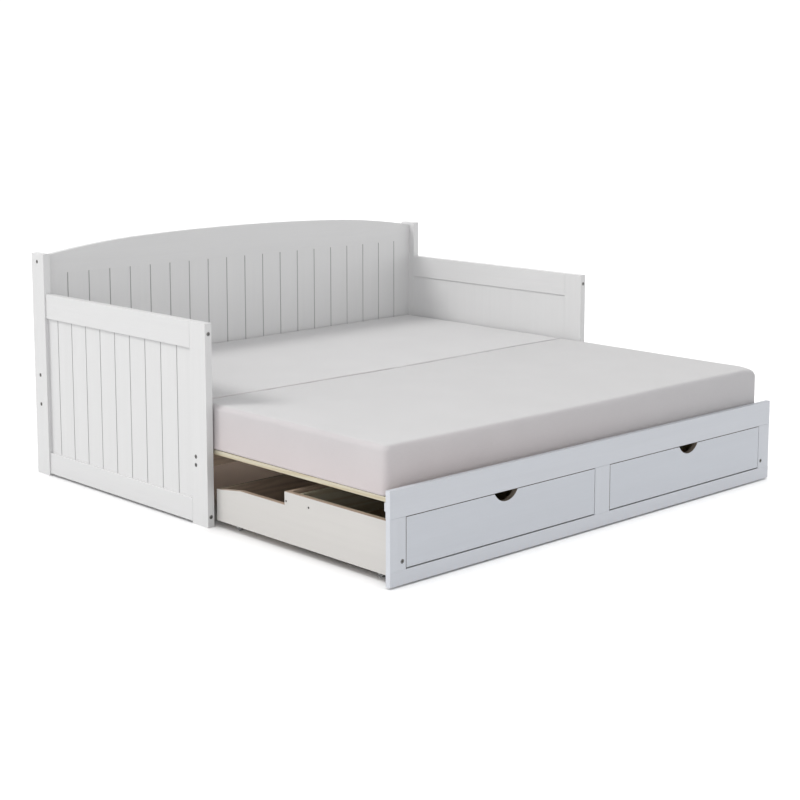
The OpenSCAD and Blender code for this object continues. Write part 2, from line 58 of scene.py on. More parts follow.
class Shader:
    """A Principled material and the nodes that feed it."""

    def __init__(self, name, **sockets):
        self.material = bpy.data.materials.new(name)
        self.material.use_nodes = True
        self.tree = self.material.node_tree
        self.tree.nodes.clear()
        out = self.tree.nodes.new("ShaderNodeOutputMaterial")
        self.bsdf = self.tree.nodes.new("ShaderNodeBsdfPrincipled")
        self.tree.links.new(self.bsdf.outputs[0], out.inputs[0])
        for socket, value in sockets.items():
            self.bsdf.inputs[socket.replace("_", " ")].default_value = value

    def node(self, kind, inputs=(), **settings):
        made = self.tree.nodes.new("ShaderNode" + kind)
        for key, value in settings.items():
            setattr(made, key, value)
        for key, value in dict(inputs).items():
            self.feed(made.inputs[key], value)
        return made

    def feed(self, socket, value):
        if isinstance(value, bpy.types.NodeSocket):
            self.tree.links.new(value, socket)
        else:
            socket.default_value = value

    def set(self, socket, value):
        self.feed(self.bsdf.inputs[socket], value)

    def place(self):
        """The point in the row frame, fixed to the piece."""
        return self.node("TexCoord").outputs["Object"]

    def facing(self):
        return self.node("TexCoord").outputs["Normal"]

    def math(self, operation, a, b=0.0, c=0.0):
        return self.node("Math", {0: a, 1: b, 2: c}, operation=operation).outputs[0]

    def vector(self, operation, a, b=(0, 0, 0)):
        return self.node("VectorMath", {0: a, 1: b}, operation=operation).outputs[0]

    def split(self, vector):
        return self.node("SeparateXYZ", {0: vector}).outputs

    def join(self, x, y, z):
        return self.node("CombineXYZ", {0: x, 1: y, 2: z}).outputs[0]

    def noise(self, vector, scale, detail=3.0, roughness=0.5, distortion=0.0):
        made = self.node(
            "TexNoise",
            {
                "Vector": vector,
                "Scale": scale,
                "Detail": detail,
                "Roughness": roughness,
                "Distortion": distortion,
            },
        )
        return made.outputs["Fac"]

    def mix(self, share, a, b, blend="MIX"):
        made = self.node("Mix", data_type="RGBA", blend_type=blend)
        self.feed(made.inputs[0], share)
        self.feed(made.inputs[6], a)
        self.feed(made.inputs[7], b)
        return made.outputs[2]

    def scale(self, value, low, high, to_low, to_high):
        made = self.node(
            "MapRange",
            {
                "Value": value,
                "From Min": low,
                "From Max": high,
                "To Min": to_low,
                "To Max": to_high,
            },
        )
        return made.outputs[0]

    def bump(self, height, distance, strength=1.0, normal=None):
        made = self.node(
            "Bump", {"Height": height, "Distance": distance, "Strength": strength}
        )
        if normal is not None:
            self.feed(made.inputs["Normal"], normal)
        return made.outputs[0]


def colour(r, g, b):
    return (r, g, b, 1.0)


AXES = {"x": 0, "y": 1, "z": 2}


def grain_vector(s, along, stretch=26.0, shift=None):
    """Coordinates squeezed along the grain, so that noise draws into long fibres."""
    scale = [1.0, 1.0, 1.0]
    scale[AXES[along]] = 1.0 / stretch
    vector = s.place()
    if shift is not None:
        vector = s.vector("ADD", vector, shift)
    return s.vector("MULTIPLY", vector, tuple(scale))


def plank_shift(s, across, first, pitch):
    """A random offset and a random number for each plank across a boarded panel."""
    at = s.split(s.place())[AXES[across]]
    index = s.math("FLOOR", s.math("DIVIDE", s.math("SUBTRACT", at, first), pitch))
    chance = s.node("TexWhiteNoise", {"W": index}, noise_dimensions="1D")
    offset = s.vector("MULTIPLY", chance.outputs["Color"], (7.0, 7.0, 7.0))
    return offset, chance.outputs["Value"]


PAINT_LIGHT = (0.648, 0.648, 0.650)
PAINT_GRAIN = (0.628, 0.628, 0.630)
PAINT_FIBRE = (0.598, 0.598, 0.598)
PAINT_CLOUD = (0.636, 0.638, 0.644)
# Share of the paint's brightness left in the grooves between the boards: painted shade on the grooves'
# walls
GROOVE_SHADE = 0.64


def paint(name, along, planks=None, raw=None, tint=(1, 1, 1), face=None):
    """Satin white paint over pine: the grain telegraphs faintly through the coat.

    face is the axis that a grooved board faces: the slanted walls of its grooves get painted shade.
    """
    light, grain, fibre, clouded = (
        colour(*(a * b for a, b in zip(value, tint)))
        for value in (PAINT_LIGHT, PAINT_GRAIN, PAINT_FIBRE, PAINT_CLOUD)
    )
    s = Shader(name, Roughness=0.42, Specular_IOR_Level=0.45, Coat_Weight=0.08)
    shift = chance = None
    if planks:
        shift, chance = plank_shift(s, *planks)
    vector = grain_vector(s, along, shift=shift)
    fibres = s.noise(vector, 420.0, 4.0, 0.6)
    rings = s.noise(vector, 36.0, 3.0, 0.55, 0.6)
    roller = s.noise(s.place(), 780.0, 2.0, 0.5)
    cloud = s.noise(s.place(), 2.3, 2.0, 0.5)
    tone = s.mix(s.scale(rings, 0.35, 0.72, 0.0, 1.0), light, grain)
    tone = s.mix(s.scale(fibres, 0.45, 0.75, 0.0, 0.35), tone, fibre)
    tone = s.mix(s.scale(cloud, 0.3, 0.7, 0.0, 0.4), tone, clouded)
    if chance is not None:
        tone = s.mix(s.scale(chance, 0.0, 1.0, 0.0, 0.3), tone, grain)
    rough = s.scale(roller, 0.3, 0.7, 0.38, 0.5)
    height = s.math(
        "ADD",
        s.math("MULTIPLY", fibres, 0.7),
        s.math("MULTIPLY", roller, 0.5),
    )
    # Painted shade: faces turned away from the board's face axis, the grooves' walls, are darkened
    if face is not None:
        straight = s.math("ABSOLUTE", s.split(s.facing())[AXES[face]])
        dim = s.scale(straight, 0.8, 0.97, GROOVE_SHADE, 1.0)
        tone = s.vector("MULTIPLY", tone, s.join(dim, dim, dim))
    if raw is not None:
        bare, bare_rough, share = raw(s)
        tone = s.mix(share, tone, bare)
        rough = s.math(
            "ADD",
            s.math("MULTIPLY", rough, s.math("SUBTRACT", 1.0, share)),
            s.math("MULTIPLY", bare_rough, share),
        )
    s.set("Base Color", tone)
    s.set("Roughness", rough)
    s.set("Normal", s.bump(height, 0.00022, 0.55))
    return s.material


def timber_tone(s, along, shift, light, dark, knot):
    """Colour, fibre height and roughness of planed softwood with rings and knots."""
    vector = grain_vector(s, along, 18.0, shift)
    warp = s.noise(vector, 4.0, 2.0, 0.5)
    wave = s.node(
        "TexWave",
        {
            "Vector": vector,
            "Scale": 21.0,
            "Distortion": 9.0,
            "Detail": 2.0,
            "Detail Scale": 1.4,
        },
        wave_type="BANDS",
        bands_direction="DIAGONAL",
    ).outputs["Fac"]
    fibres = s.noise(vector, 520.0, 4.0, 0.65)
    pores = s.noise(grain_vector(s, along, 60.0, shift), 900.0, 2.0, 0.6)
    tone = s.mix(s.scale(wave, 0.25, 1.0, 0.0, 0.75), light, dark)
    tone = s.mix(s.scale(warp, 0.35, 0.7, 0.0, 0.4), tone, light)
    tone = s.mix(s.scale(fibres, 0.4, 0.8, 0.0, 0.35), tone, dark)
    spots = s.node(
        "TexVoronoi",
        {"Vector": grain_vector(s, along, 3.2, shift), "Scale": 5.5, "Randomness": 1.0},
    ).outputs["Distance"]
    tone = s.mix(s.scale(spots, 0.035, 0.075, 0.85, 0.0), tone, knot)
    rough = s.scale(fibres, 0.3, 0.7, 0.5, 0.72)
    height = s.math("ADD", s.math("MULTIPLY", fibres, 0.6), s.math("MULTIPLY", pores, 0.6))
    return tone, height, rough


PINE_LIGHT = colour(0.58, 0.55, 0.44)
PINE_DARK = colour(0.47, 0.40, 0.27)
PINE_KNOT = colour(0.26, 0.14, 0.07)


def pine(name, along, planks=None):
    s = Shader(name, Specular_IOR_Level=0.3)
    shift = chance = None
    if planks:
        shift, chance = plank_shift(s, *planks)
    tone, height, rough = timber_tone(s, along, shift, PINE_LIGHT, PINE_DARK, PINE_KNOT)
    if chance is not None:
        tone = s.mix(s.scale(chance, 0.0, 1.0, 0.0, 0.25), tone, PINE_DARK)
    s.set("Base Color", tone)
    s.set("Roughness", rough)
    s.set("Normal", s.bump(height, 0.0003, 0.6))
    return s.material


BOARD_LIGHT = colour(0.50, 0.385, 0.30)
BOARD_DARK = colour(0.34, 0.255, 0.19)
# Dark timber tones that paint shade into the drawer fronts' edges and notch
GAP_SHADE_LIGHT = colour(0.20, 0.165, 0.13)
GAP_SHADE_DARK = colour(0.13, 0.105, 0.08)


def board(name, along):
    """Unpainted inner boards: a browner, plainer timber."""
    s = Shader(name, Specular_IOR_Level=0.25)
    tone, height, rough = timber_tone(s, along, None, BOARD_LIGHT, BOARD_DARK, BOARD_DARK)
    s.set("Base Color", tone)
    s.set("Roughness", rough)
    s.set("Normal", s.bump(height, 0.0003, 0.6))
    return s.material


def bare(axis, sign, along):
    """Paint on the outer face and the ends only: the top edge and the inside are bare."""

    def raw(s):
        facing = s.split(s.facing())
        outward = s.math("MULTIPLY", facing[AXES[axis]], float(sign))
        sideways = s.math("ABSOLUTE", facing[AXES[along]])
        painted = s.math("MAXIMUM", outward, sideways)
        share = s.scale(painted, 0.35, 0.6, 1.0, 0.0)
        tone, _, rough = timber_tone(s, along, None, BOARD_LIGHT, BOARD_DARK, BOARD_DARK)
        return tone, rough, share

    return raw


def edge_gap_shade(s):
    """A drawer front's painted face: its edges, notch and back get a dark brown timber tone, painted shade
    that darkens the gaps around the front.
    """
    outward = s.math("MULTIPLY", s.split(s.facing())[1], -1.0)
    share = s.scale(outward, 0.35, 0.6, 1.0, 0.0)
    tone, _, rough = timber_tone(s, "x", None, GAP_SHADE_LIGHT, GAP_SHADE_DARK, GAP_SHADE_DARK)
    return tone, rough, share


def hardboard(name):
    """Thin pressed board of the drawer bottoms: fine speckled fibres, no direction."""
    s = Shader(name, Specular_IOR_Level=0.3)
    speckle = s.noise(s.place(), 640.0, 4.0, 0.7)
    cloud = s.noise(s.place(), 7.0, 3.0, 0.6)
    tone = s.mix(s.scale(speckle, 0.35, 0.7, 0.0, 1.0), colour(0.50, 0.38, 0.26), colour(0.36, 0.25, 0.15))
    tone = s.mix(s.scale(cloud, 0.3, 0.7, 0.0, 0.35), tone, colour(0.58, 0.46, 0.33))
    s.set("Base Color", tone)
    s.set("Roughness", s.scale(speckle, 0.3, 0.7, 0.45, 0.7))
    s.set("Normal", s.bump(speckle, 0.0002, 0.4))
    return s.material


def zinc(name, dim=1.0):
    """Zinc plate: fine turning lines, a blue-yellow bloom and duller patches."""
    s = Shader(name, Metallic=1.0)
    lines = s.noise(s.vector("MULTIPLY", s.place(), (900.0, 900.0, 120.0)), 3.0, 3.0, 0.6)
    bloom = s.noise(s.place(), 160.0, 2.0, 0.5)
    tone = s.mix(s.scale(bloom, 0.35, 0.65, 0.0, 1.0), colour(0.60, 0.61, 0.64), colour(0.66, 0.63, 0.56))
    tone = s.mix(s.scale(lines, 0.4, 0.7, 0.0, 0.5), tone, colour(0.42, 0.43, 0.45))
    tone = s.vector("MULTIPLY", tone, (dim, dim, dim))
    s.set("Base Color", tone)
    s.set("Roughness", s.scale(lines, 0.3, 0.7, 0.28, 0.48))
    s.set("Normal", s.bump(lines, 0.00006, 0.5))
    return s.material


def nylon(name):
    """Moulded grey nylon of the caster wheels, scuffed where it rolls."""
    s = Shader(name, Specular_IOR_Level=0.4)
    pitted = s.noise(s.place(), 1500.0, 2.0, 0.5)
    scuff = s.noise(s.place(), 260.0, 4.0, 0.7)
    tone = s.mix(s.scale(scuff, 0.45, 0.75, 0.0, 0.7), colour(0.22, 0.225, 0.23), colour(0.42, 0.42, 0.41))
    s.set("Base Color", tone)
    s.set("Roughness", s.scale(scuff, 0.3, 0.7, 0.4, 0.62))
    s.set("Normal", s.bump(pitted, 0.0001, 0.5))
    return s.material


COVER_LIGHT = colour(0.648, 0.645, 0.650)
COVER_DARK = colour(0.584, 0.581, 0.586)
# The cover's border, its sides, gets painted shade: a little darker than the top, and pinker low down and
# towards the left
BORDER_SHADE = (0.90, 0.895, 0.91)
BORDER_PINK_SHADE = (0.925, 0.845, 0.845)


def knit_height(s, vector, u, v, pitch):
    """Rows of small loops in one plane of the cover."""
    parts = s.split(vector)
    turn = 2 * math.pi / pitch
    a = s.math("SINE", s.math("MULTIPLY", parts[AXES[u]], turn))
    b = s.math("SINE", s.math("MULTIPLY", parts[AXES[v]], turn * 0.62))
    return s.math("MULTIPLY", s.math("ABSOLUTE", a), s.math("ABSOLUTE", b))


def cover(name, at_left, at_right):
    """Light grey knitted mattress cover: loops on all faces, soft sheen, heathered yarn.

    Its brightness is scaled from at_left to at_right along the mattress: painted light and shade.
    """
    s = Shader(
        name, Specular_IOR_Level=0.2, Sheen_Weight=0.25, Sheen_Roughness=0.45
    )
    s.bsdf.inputs["Sheen Tint"].default_value = colour(0.95, 0.94, 0.95)
    vector = s.place()
    facing = s.split(s.facing())
    top = s.math("ABSOLUTE", facing[2])
    side = s.math("ABSOLUTE", facing[0])
    is_top = s.math("GREATER_THAN", top, 0.6)
    is_end = s.math("GREATER_THAN", side, 0.7)
    flat = knit_height(s, vector, "x", "y", 0.0028)
    front = knit_height(s, vector, "x", "z", 0.0028)
    end = knit_height(s, vector, "y", "z", 0.0028)
    upright = s.node("Mix", {0: is_end, 2: front, 3: end}, data_type="FLOAT").outputs[0]
    loops = s.node("Mix", {0: is_top, 2: upright, 3: flat}, data_type="FLOAT").outputs[0]
    yarn = s.noise(vector, 900.0, 3.0, 0.65)
    slub = s.noise(s.vector("MULTIPLY", vector, (0.25, 1.0, 1.0)), 240.0, 3.0, 0.6)
    cloud = s.noise(vector, 5.0, 3.0, 0.55)
    tone = s.mix(s.scale(yarn, 0.3, 0.75, 0.0, 0.6), COVER_LIGHT, COVER_DARK)
    tone = s.mix(s.scale(slub, 0.45, 0.75, 0.0, 0.4), tone, COVER_DARK)
    # Darker between the loops: painted shade in the knit's hollows
    tone = s.mix(s.scale(loops, 0.0, 0.25, 0.28, 0.0), tone, colour(0.50, 0.494, 0.498))
    tone = s.mix(s.scale(cloud, 0.35, 0.7, 0.0, 0.3), tone, colour(0.68, 0.676, 0.680))
    place = s.split(vector)
    # Where the border's painted shade turns pink: low down and towards the left
    low = s.scale(place[2], 0.27, 0.45, 1.0, 0.35)
    left = s.scale(place[0], -0.8, 0.9, 1.0, 0.15)
    # Painted light and shade: brightness scaled along the mattress
    light_drift = s.scale(place[0], -0.9, 0.9, at_left, at_right)
    tone = s.vector("MULTIPLY", tone, s.join(light_drift, light_drift, light_drift))
    pink = s.math("MULTIPLY", low, left)
    tint = s.mix(pink, colour(*BORDER_SHADE), colour(*BORDER_PINK_SHADE))
    border = s.vector("MULTIPLY", tone, tint)
    # The sides take the border's painted shade; faces turned up keep the top's tone
    s.set("Base Color", s.mix(s.scale(top, 0.78, 0.995, 0.0, 1.0), border, tone))
    s.set("Roughness", s.scale(yarn, 0.3, 0.7, 0.82, 0.96))
    height = s.math("ADD", loops, s.math("MULTIPLY", yarn, 0.5))
    s.set("Normal", s.bump(height, 0.0007, 0.6))
    return s.material


# ---- Materials of the CAD nodes --------------------------------------------

SLAT_WIDTH = 0.07
# Fixed slats lie between the sliding ones, so the outermost sliding slats are this many pitches apart
SLAT_PITCHES = 24
slat_lo, slat_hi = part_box("sliding_slats")
slat_pitch = (slat_hi.x - slat_lo.x - SLAT_WIDTH) / SLAT_PITCHES
slat_planks = ("x", -(SLAT_PITCHES + 1) / 2 * slat_pitch, slat_pitch)
GROOVE_PITCH = 0.0985
back_lo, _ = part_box("back_beadboard")
side_lo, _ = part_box("side_beadboard_left")
# The sled's boards are a warmer and darker copy of the frame's white paint: painted shade
SLED_SHADE = (0.885, 0.862, 0.830)
# The front panel's white is a cooler, darker copy of the frame's paint, painted shade, and its drawer
# fronts get darker painted shade than the panel
PANEL_SHADE = (0.895, 0.925, 0.985)
DRAWER_SHADE = (0.865, 0.90, 0.965)
# Brightness of the bolts and of the sled's screws, as shares of plain zinc; the bolts' darkening is
# painted shade for their dark sockets
BOLT_SHADE = 0.36
SCREW_DIM = 0.12

MATERIALS = {
    "paint_x": paint("white_paint_x", "x"),
    "paint_y": paint("white_paint_y", "y"),
    "paint_z": paint("white_paint_z", "z"),
    "planks_back": paint("white_planks_back", "z", ("x", back_lo.x, GROOVE_PITCH), face="y"),
    "planks_side": paint("white_planks_side", "z", ("y", side_lo.y, GROOVE_PITCH), face="x"),
    "panel_x": paint("panel_paint_x", "x", tint=PANEL_SHADE),
    "panel_z": paint("panel_paint_z", "z", tint=PANEL_SHADE),
    "drawer_front": paint("drawer_front_paint", "x", raw=edge_gap_shade, tint=DRAWER_SHADE),
    "sled_left": paint("sled_paint_left", "y", raw=bare("x", -1, "y"), tint=SLED_SHADE),
    "sled_right": paint("sled_paint_right", "y", raw=bare("x", 1, "y"), tint=SLED_SHADE),
    "sled_rear": paint("sled_paint_rear", "x", raw=bare("y", 1, "x"), tint=SLED_SHADE),
    "slats": pine("pine_slats", "y", slat_planks),
    "pine_x": pine("pine_x", "x"),
    "pine_y": pine("pine_y", "y"),
    "board_x": board("inner_board_x", "x"),
    "board_y": board("inner_board_y", "y"),
    "hardboard": hardboard("hardboard"),
    "zinc": zinc("zinc_plate"),
    "dark_zinc": zinc("darkened_bolts", BOLT_SHADE),
    "dark_screw": zinc("darkened_screws", SCREW_DIM),
    "nylon": nylon("caster_nylon"),
}

WEARS = {
    "paint_x": ["back_arched_rail", "back_bottom_rail"],
    "panel_x": ["panel_top_rail", "panel_bottom_rail", "panel_slat_ledger"],
    "panel_z": ["panel_stile_left", "panel_stile_middle", "panel_stile_right"],
    "drawer_front": ["drawer_left_front", "drawer_right_front"],
    "paint_y": [
        "side_top_rail_left", "side_top_rail_right", "side_bottom_rail_left", "side_bottom_rail_right",
    ],
    "paint_z": ["rear_post_left", "rear_post_right", "front_post_left", "front_post_right"],
    "planks_back": ["back_beadboard"],
    "planks_side": ["side_beadboard_left", "side_beadboard_right"],
    "sled_left": ["sled_side_left"],
    "sled_right": ["sled_side_right"],
    "sled_rear": ["sled_rear_board"],
    "slats": ["fixed_slats", "sliding_slats", "batten_spacers"],
    "pine_x": ["rear_slat_ledger", "slat_batten", "drawer_left_back", "drawer_right_back"],
    "pine_y": [
        "drawer_runners", "drawer_left_outer_side", "drawer_left_inner_side",
        "drawer_right_outer_side", "drawer_right_inner_side",
    ],
    "board_x": ["housing_rear_board", "front_beam"],
    "board_y": ["sled_middle_rail", "housing_divider"],
    "hardboard": ["drawer_left_bottom", "drawer_right_bottom"],
    "zinc": ["caster_brackets", "caster_axles"],
    "dark_zinc": ["frame_bolts", "panel_bolts"],
    "dark_screw": ["sled_screws"],
    "nylon": [name for name in nodes if name.startswith("caster_wheel_")],
}

for key, names in WEARS.items():
    for name in names:
        mesh = nodes[name].data
        mesh.materials.clear()
        mesh.materials.append(MATERIALS[key])

# ---- Mattresses -------------------------------------------------------------

# The last two numbers scale each cover's brightness from its left to its right end: painted light and
# shade
MAIN_COVER = cover("main_cover_knit", 1.05, 1.0)
EXTENSION_COVER = cover("extension_cover_knit", 1.0, 0.915)
# Spacing of the cloth mesh away from the edges
CELL = 0.014
# Steps of the mesh inside an edge, as shares of the edge radius
EDGE_STEPS = (0.0, 0.14, 0.34, 0.6, 0.86, 1.15)
SEAM_RADIUS = 0.006
OUTER_RADIUS = 0.022
LOW_RADIUS = 0.010
SEAM_CORNER = 0.014
# Each cover stays this far back from the plane where the two mattresses meet
SEAM_BACK = 0.0045
OUTER_CORNER = 0.024
# The cover's ends reach past the solid it stands for, and its top starts this far below the solid's
END_SPREAD = 0.002
TOP_DROP = 0.011
# The cover starts this far above the solid's underside, and stays this far under the solid's top
FOOT_LIFT = 0.0003
TOP_CLEARANCE = 0.0004
RIGHT_RISE = 0.008
PRESSURE_FRAMES = 20
CROWN_LIMIT = 0.006
BULGE_LIMIT = 0.004
# How far it may move the rims along each axis
RIM_LIMITS = (0.0004, 0.0002, 0.0008)
# Distance from the seam over which a wall's bulge grows to its full size
SEAM_EASE = 0.06
# Unevenness of the top: slow waves, quick ones, and puckers within a short reach of the ends
SLOW_WAVE = 0.0013
QUICK_WAVE = 0.0004
PUCKER = 0.0008
PUCKER_REACH = 0.05


def steps(length, first, last):
    """Grid lines along one edge of a block, close together where its ends are rounded."""
    start = [first * s for s in EDGE_STEPS]
    end = [length - last * s for s in reversed(EDGE_STEPS)]
    count = max(1, round((end[0] - start[-1]) / CELL))
    middle = np.linspace(start[-1], end[0], count + 1)[1:-1]
    return np.array([*start, *middle, *end])


def block_grid(size, radii):
    """Points and faces of a box whose six faces are grids; radii are (low, high) on each axis."""
    lines = [steps(length, *ends) for length, ends in zip(size, radii)]
    n = [len(line) for line in lines]
    index, points, faces = {}, [], []

    def vertex(i, j, k):
        key = (i, j, k)
        if key not in index:
            index[key] = len(points)
            points.append((lines[0][i], lines[1][j], lines[2][k]))
        return index[key]

    for axis in range(3):
        a, b = [other for other in range(3) if other != axis]
        for level in (0, n[axis] - 1):
            flip = (level == 0) == (axis != 1)
            for i in range(n[a] - 1):
                for j in range(n[b] - 1):
                    corners = []
                    for di, dj in ((0, 0), (1, 0), (1, 1), (0, 1)):
                        at = [0, 0, 0]
                        at[axis], at[a], at[b] = level, i + di, j + dj
                        corners.append(vertex(*at))
                    faces.append(corners[::-1] if flip else corners)
    return np.array(points), faces


def round_pair(a, b):
    """Turns the square corner of two inward distances, given as shares of a radius, into a round one."""
    a, b = np.clip(a, 0, 1), np.clip(b, 0, 1)
    longest = np.maximum(a, b)
    scale = longest / np.maximum(np.hypot(a, b), 1e-9)
    return np.where((a > 0) & (b > 0), scale, 1.0)


def rounded_block(lo, hi, seam_high):
    """A mattress-shaped mesh: crisp along the seam between the mattresses, round elsewhere."""
    size = hi - lo
    y_radii = (OUTER_RADIUS, SEAM_RADIUS) if seam_high else (SEAM_RADIUS, OUTER_RADIUS)
    radii = ((OUTER_RADIUS, OUTER_RADIUS), y_radii, (LOW_RADIUS, OUTER_RADIUS))
    points, faces = block_grid(size, radii)
    x, y, z = points.T.copy()
    at_seam = (y > size[1] / 2) == seam_high
    corner = np.where(at_seam, SEAM_CORNER, OUTER_CORNER)
    # In plan: round the upright corners
    near_x = np.minimum(x, size[0] - x)
    near_y = np.minimum(y, size[1] - y)
    out_x, out_y = 1 - near_x / corner, 1 - near_y / corner
    scale = round_pair(out_x, out_y)
    both = (out_x > 0) & (out_y > 0)
    new_x = np.where(both, corner * (1 - out_x * scale), near_x)
    new_y = np.where(both, corner * (1 - out_y * scale), near_y)
    x = np.where(x < size[0] / 2, new_x, size[0] - new_x)
    y = np.where(y < size[1] / 2, new_y, size[1] - new_y)
    # The way inward from the wall, and the distance to it
    in_x = np.where(both, np.clip(corner - new_x, 0, None), np.where(new_x < new_y, 1.0, 0.0))
    in_y = np.where(both, np.clip(corner - new_y, 0, None), np.where(new_x < new_y, 0.0, 1.0))
    length = np.maximum(np.hypot(in_x, in_y), 1e-9)
    in_x, in_y = in_x / length, in_y / length
    inward = np.where(both, corner - np.hypot(corner - new_x, corner - new_y), np.minimum(new_x, new_y))
    in_x *= np.where(x < size[0] / 2, 1, -1)
    in_y *= np.where(y < size[1] / 2, 1, -1)
    # In section: round the rim, with each wall's own radius
    wall = np.where(at_seam, SEAM_RADIUS, OUTER_RADIUS)
    rim = in_x**2 * OUTER_RADIUS + in_y**2 * wall
    for radius, depth, sign in ((rim, size[2] - z, -1), (np.full_like(rim, LOW_RADIUS), z.copy(), 1)):
        a, b = 1 - inward / radius, 1 - depth / radius
        scale = round_pair(a, b)
        near = (a > 0) & (b > 0)
        move_in = np.where(near, radius * (a - a * scale), 0.0)
        move_z = np.where(near, radius * (b - b * scale), 0.0)
        x, y, z = x + in_x * move_in, y + in_y * move_in, z + sign * move_z
    return np.stack([x, y, z], axis=1) + lo, faces


def as_array(mesh):
    out = np.empty(len(mesh.vertices) * 3)
    mesh.vertices.foreach_get("co", out)
    return out.reshape(-1, 3)


def swell(obj):
    """Blows the cover up over its foam with the Cloth solver; returns the points it reaches."""
    mod = obj.modifiers.new("cover", "CLOTH")
    cloth = mod.settings
    cloth.quality = 4
    cloth.mass = 0.3
    cloth.tension_stiffness = 15
    cloth.compression_stiffness = 15
    cloth.shear_stiffness = 8
    cloth.bending_stiffness = 1.5
    cloth.use_pressure = True
    cloth.uniform_pressure_force = 4
    cloth.effector_weights.gravity = 0
    scene.frame_start, scene.frame_end = 1, PRESSURE_FRAMES
    for f in range(1, PRESSURE_FRAMES + 1):
        scene.frame_set(f)
    graph = bpy.context.evaluated_depsgraph_get()
    result = as_array(obj.evaluated_get(graph).to_mesh()).copy()
    obj.modifiers.clear()
    scene.frame_set(1)
    return result


def rim_share(co, lo, hi, axes, power=3.0):
    """1 in the middle of a face and 0 along its rim."""
    share = np.ones(len(co))
    for axis in axes:
        t = np.clip((co[:, axis] - lo[axis]) / (hi[axis] - lo[axis]), 0, 1)
        share *= 1 - np.abs(2 * t - 1) ** power
    return share


def capped(start, reached, lo, hi, seam_high):
    """The simulated movement, held to the crown of the top and the bulge of the free sides."""
    step = reached - start
    free = hi[1] - start[:, 1] if seam_high else start[:, 1] - lo[1]
    free = np.clip(free / SEAM_EASE, 0, 1)
    limit = np.stack(
        [
            RIM_LIMITS[0] + BULGE_LIMIT * rim_share(start, lo, hi, (1, 2)),
            RIM_LIMITS[1] + BULGE_LIMIT * rim_share(start, lo, hi, (0, 2)) * free,
            RIM_LIMITS[2] + CROWN_LIMIT * rim_share(start, lo, hi, (0, 1)),
        ],
        axis=1,
    )
    out = start + limit * np.tanh(step / limit)
    low = start[:, 2] < lo[2] + LOW_RADIUS
    out[low, 2] = start[low, 2]
    return out


def lain_on(co, seed, lo, hi):
    """Slow unevenness of a lain-on top, and faint puckers of the cover at its ends and corners."""
    out = co.copy()
    for i, (x, y, z) in enumerate(co):
        up = (z - lo[2]) / (hi[2] - lo[2])
        slow = noise.noise(Vector((x * 2.6, y * 3.1, z * 5 + seed)))
        quick = noise.noise(Vector((x * 9.0, y * 11.0, z * 16 + seed * 1.7)))
        out[i, 2] += up * (SLOW_WAVE * slow + QUICK_WAVE * quick)
        near_end = max(0.0, 1 - min(x - lo[0], hi[0] - x) / PUCKER_REACH)
        near_side = max(0.0, 1 - min(y - lo[1], hi[1] - y) / PUCKER_REACH)
        pull = PUCKER * noise.noise(Vector((x * 16.0, y * 16.0, z * 9 + seed)))
        out[i, 0] += pull * near_end * (1 if x > 0 else -1)
        out[i, 1] += pull * near_side * near_end
    return out


def rising(co, lo, hi):
    """The top lies a little higher towards the right-hand end."""
    t = np.clip((co[:, 0] + 0.2) / (hi[0] + 0.2), 0, 1)
    up = np.clip((co[:, 2] - lo[2]) / (hi[2] - lo[2]), 0, 1)
    co[:, 2] += RIGHT_RISE * t * t * (3 - 2 * t) * up


# How far the extension's front reaches past its solid at its left and right ends
FRONT_REACH = (0.0, 0.028)
# Width and height of the lower edge's band at each end, and how far it sinks
OVERHANG = 0.010
SINK_HEIGHT = 0.05
SINK = 0.004


def reaching(co, lo, hi):
    """The extension lies slightly askew: its front comes nearer the panel at the right."""
    t = (co[:, 0] - lo[0]) / (hi[0] - lo[0])
    reach = FRONT_REACH[0] + (FRONT_REACH[1] - FRONT_REACH[0]) * t
    share = (hi[1] - co[:, 1]) / (hi[1] - lo[1])
    co[:, 1] -= reach * share
    edge = np.minimum(co[:, 0] - lo[0], hi[0] - co[:, 0])
    side = np.clip(1 - edge / OVERHANG, 0, 1)
    low = np.clip(1 - (co[:, 2] - lo[2]) / SINK_HEIGHT, 0, 1)
    co[:, 2] -= SINK * side * low * np.clip(share * 1.6, 0, 1)


# The extension's front right-hand top corner is crushed a little
CRUSHED_REACH = 0.085
CRUSHED_DEPTH = 0.016


def crushed(co, lo, hi):
    """Sinks the top towards the front right-hand corner."""
    away = np.hypot(hi[0] - co[:, 0], co[:, 1] - co[:, 1].min())
    share = np.clip(1 - away / CRUSHED_REACH, 0, 1) ** 2
    up = np.clip((co[:, 2] - lo[2]) / (hi[2] - lo[2]), 0, 1)
    co[:, 2] -= CRUSHED_DEPTH * share * up**3


